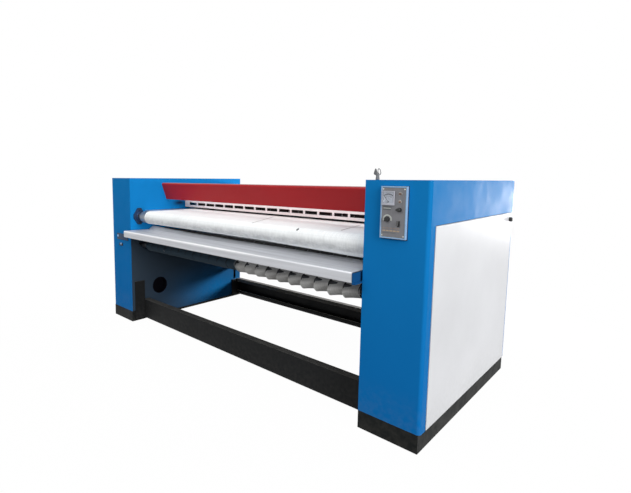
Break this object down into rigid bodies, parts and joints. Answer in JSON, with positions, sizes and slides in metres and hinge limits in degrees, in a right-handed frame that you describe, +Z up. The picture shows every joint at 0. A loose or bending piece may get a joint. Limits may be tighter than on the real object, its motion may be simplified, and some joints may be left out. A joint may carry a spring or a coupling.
{
  "type": "flatwork ironer",
  "caption": "Wide roller ironer for laundry flatwork: canvas feed apron, heated drum with return belts, outfeed tray, two side cabinets on black plinths.",
  "frame": {"origin": "on the floor, at the middle of the overall length and depth", "axes": "+X along the machine to the operator's right, +Y from the operator to the rear, +Z up"},
  "size_m": [3.032, 1.435, 1.3713],
  "materials": {
    "blue_paint": "gloss paint on folded sheet steel",
    "white_paint": "white paint on folded sheet steel",
    "black_paint": "black paint on welded steel",
    "red_paint": "red paint on folded sheet steel",
    "grey_casting": "painted grey casting",
    "grey_frame": "grey primer on steel plate",
    "stainless": "brushed stainless sheet",
    "polished_steel": "turned and polished steel",
    "dark_steel": "oiled steel",
    "white_canvas": "woven cotton canvas",
    "grey_canvas": "woven heat-resistant canvas",
    "brass": "turned brass",
    "box_grey": "grey enamel",
    "panel_grey": "satin aluminium plate",
    "black_plastic": "moulded black plastic",
    "dial_white": "white moulded housing and dial",
    "lamp_amber": "amber lens",
    "glass": "clear window",
    "zinc": "zinc-plated steel"
  },
  "bodies": {
    "machine": {"left_plinth": "black_paint", "left_side_frame": "grey_frame", "left_cabinet_casing": "blue_paint", "left_inner_panel": "blue_paint", "left_door_hinge_rod": "zinc", "left_front_roller_bearing": "grey_casting", "left_drum_bearing": "grey_casting", "left_tray_bracket": "blue_paint", "right_plinth": "black_paint", "right_side_frame": "grey_frame", "right_cabinet_casing": "blue_paint", "right_inner_panel": "blue_paint", "right_door_hinge_rod": "zinc", "right_front_roller_bearing": "grey_casting", "right_drum_bearing": "grey_casting", "right_tray_bracket": "blue_paint", "front_cross_beam": "black_paint", "rear_cross_beam": "black_paint", "round_port_cup": "black_paint", "feed_table_bed": "stainless", "feed_apron": "white_canvas", "red_hood": "red_paint", "rear_cover": "blue_paint", "ironing_belts": "grey_canvas", "steam_rotary_joint": "brass", "steam_pipe": "dark_steel", "gear_motor": "grey_casting", "drive_chain": "dark_steel", "feed_chain": "dark_steel", "outfeed_tray": "stainless", "control_box": "box_grey", "control_panel": "panel_grey", "meter_housing": "dial_white", "meter_glass": "glass", "indicator_lamp": "lamp_amber", "power_gland": "black_plastic"},
    "drum": {"ironing_drum": "polished_steel", "drum_sprocket": "dark_steel", "feed_drive_sprocket": "dark_steel"},
    "front_feed_roller": {"front_feed_roller": "dark_steel", "feed_roller_sprocket": "dark_steel"},
    "rear_feed_roller": {"rear_feed_roller": "polished_steel"},
    "entry_roller": {"entry_roller": "polished_steel"},
    "delivery_roller": {"delivery_roller": "polished_steel"},
    "lower_front_roller": {"lower_front_roller": "polished_steel"},
    "lower_rear_roller": {"lower_rear_roller": "polished_steel"},
    "upper_rear_roller": {"upper_rear_roller": "polished_steel"},
    "motor_sprocket": {"motor_sprocket": "dark_steel"},
    "finger_guard": {"finger_guard": "stainless"},
    "left_side_door": {"left_side_door": "white_paint"},
    "right_side_door": {"right_side_door": "white_paint"},
    "left_door_lock": {"left_door_lock": "black_plastic"},
    "right_door_lock": {"right_door_lock": "black_plastic"},
    "meter_needle": {"meter_needle": "black_plastic"},
    "speed_knob": {"speed_knob": "black_plastic"},
    "selector_knob": {"selector_knob": "black_plastic"},
    "toggle_switch": {"toggle_switch": "black_plastic"},
    "fuse_cap": {"fuse_cap": "black_plastic"},
    "wing_screw": {"wing_screw": "zinc"}
  },
  "joints": [
    {"name": "drum_spin", "type": "hinge", "parent": "machine", "child": "drum", "pos_m": [0, 0.2075, 0.77], "axis": [-1, 0, 0], "continuous": true},
    {"name": "front_feed_roller_spin", "type": "hinge", "parent": "machine", "child": "front_feed_roller", "pos_m": [0, -0.5555, 0.9597], "axis": [-1, 0, 0], "continuous": true},
    {"name": "rear_feed_roller_spin", "type": "hinge", "parent": "machine", "child": "rear_feed_roller", "pos_m": [0, -0.0695, 0.9822], "axis": [-1, 0, 0], "continuous": true},
    {"name": "entry_roller_spin", "type": "hinge", "parent": "machine", "child": "entry_roller", "pos_m": [0, 0.0235, 1.048], "axis": [-1, 0, 0], "continuous": true},
    {"name": "delivery_roller_spin", "type": "hinge", "parent": "machine", "child": "delivery_roller", "pos_m": [0, -0.3675, 0.825], "axis": [-1, 0, 0], "continuous": true},
    {"name": "lower_front_roller_spin", "type": "hinge", "parent": "machine", "child": "lower_front_roller", "pos_m": [0, -0.5425, 0.706], "axis": [-1, 0, 0], "continuous": true},
    {"name": "lower_rear_roller_spin", "type": "hinge", "parent": "machine", "child": "lower_rear_roller", "pos_m": [0, 0.5675, 0.352], "axis": [-1, 0, 0], "continuous": true},
    {"name": "upper_rear_roller_spin", "type": "hinge", "parent": "machine", "child": "upper_rear_roller", "pos_m": [0, 0.5675, 1.15], "axis": [-1, 0, 0], "continuous": true},
    {"name": "motor_sprocket_spin", "type": "hinge", "parent": "machine", "child": "motor_sprocket", "pos_m": [0, 0.2075, 0.225], "axis": [-1, 0, 0], "continuous": true},
    {"name": "finger_guard_swing", "type": "hinge", "parent": "machine", "child": "finger_guard", "pos_m": [0, -0.0525, 1.09], "axis": [1, 0, 0], "range_deg": [0, 15]},
    {"name": "left_door_swing", "type": "hinge", "parent": "machine", "child": "left_side_door", "pos_m": [-1.491, -0.5685, 0.59], "axis": [0, 0, 1], "range_deg": [0, 110]},
    {"name": "left_lock_turn", "type": "hinge", "parent": "left_side_door", "child": "left_door_lock", "pos_m": [-1.495, 0.6105, 1.048], "axis": [1, 0, 0], "range_deg": [0, 90]},
    {"name": "right_door_swing", "type": "hinge", "parent": "machine", "child": "right_side_door", "pos_m": [1.491, -0.5685, 0.59], "axis": [0, 0, -1], "range_deg": [0, 110]},
    {"name": "right_lock_turn", "type": "hinge", "parent": "right_side_door", "child": "right_door_lock", "pos_m": [1.495, 0.6105, 1.048], "axis": [1, 0, 0], "range_deg": [0, 90]},
    {"name": "meter_needle_swing", "type": "hinge", "parent": "machine", "child": "meter_needle", "pos_m": [1.2978, -0.6565, 1.19672], "axis": [0, 1, 0], "range_deg": [0, 72], "stiffness_Nm_per_rad": 0.002},
    {"name": "speed_knob_turn", "type": "hinge", "parent": "machine", "child": "speed_knob", "pos_m": [1.29518, -0.6565, 1.11376], "axis": [0, 1, 0], "range_deg": [0, 300]},
    {"name": "selector_knob_turn", "type": "hinge", "parent": "machine", "child": "selector_knob", "pos_m": [1.35544, -0.6565, 1.16088], "axis": [0, 1, 0], "range_deg": [0, 90]},
    {"name": "toggle_switch_flip", "type": "hinge", "parent": "machine", "child": "toggle_switch", "pos_m": [1.35151, -0.6555, 1.09392], "axis": [1, 0, 0], "range_deg": [0, 32]},
    {"name": "fuse_cap_turn", "type": "hinge", "parent": "machine", "child": "fuse_cap", "pos_m": [1.35544, -0.6565, 1.23528], "axis": [0, -1, 0], "range_deg": [0, 90]},
    {"name": "wing_screw_turn", "type": "hinge", "parent": "machine", "child": "wing_screw", "pos_m": [1.207, -0.6025, 1.3], "axis": [0, 0, 1], "continuous": true}
  ],
  "couplings": [
    {"joint": "front_feed_roller_spin", "follows": "drum_spin", "ratio": 5.7692},
    {"joint": "rear_feed_roller_spin", "follows": "drum_spin", "ratio": 10.162},
    {"joint": "entry_roller_spin", "follows": "drum_spin", "ratio": -9.9195},
    {"joint": "delivery_roller_spin", "follows": "drum_spin", "ratio": -9.9195},
    {"joint": "lower_front_roller_spin", "follows": "drum_spin", "ratio": -11.42},
    {"joint": "lower_rear_roller_spin", "follows": "drum_spin", "ratio": -10.617},
    {"joint": "upper_rear_roller_spin", "follows": "drum_spin", "ratio": -10.617},
    {"joint": "motor_sprocket_spin", "follows": "drum_spin", "ratio": 3.5714}
  ]
}
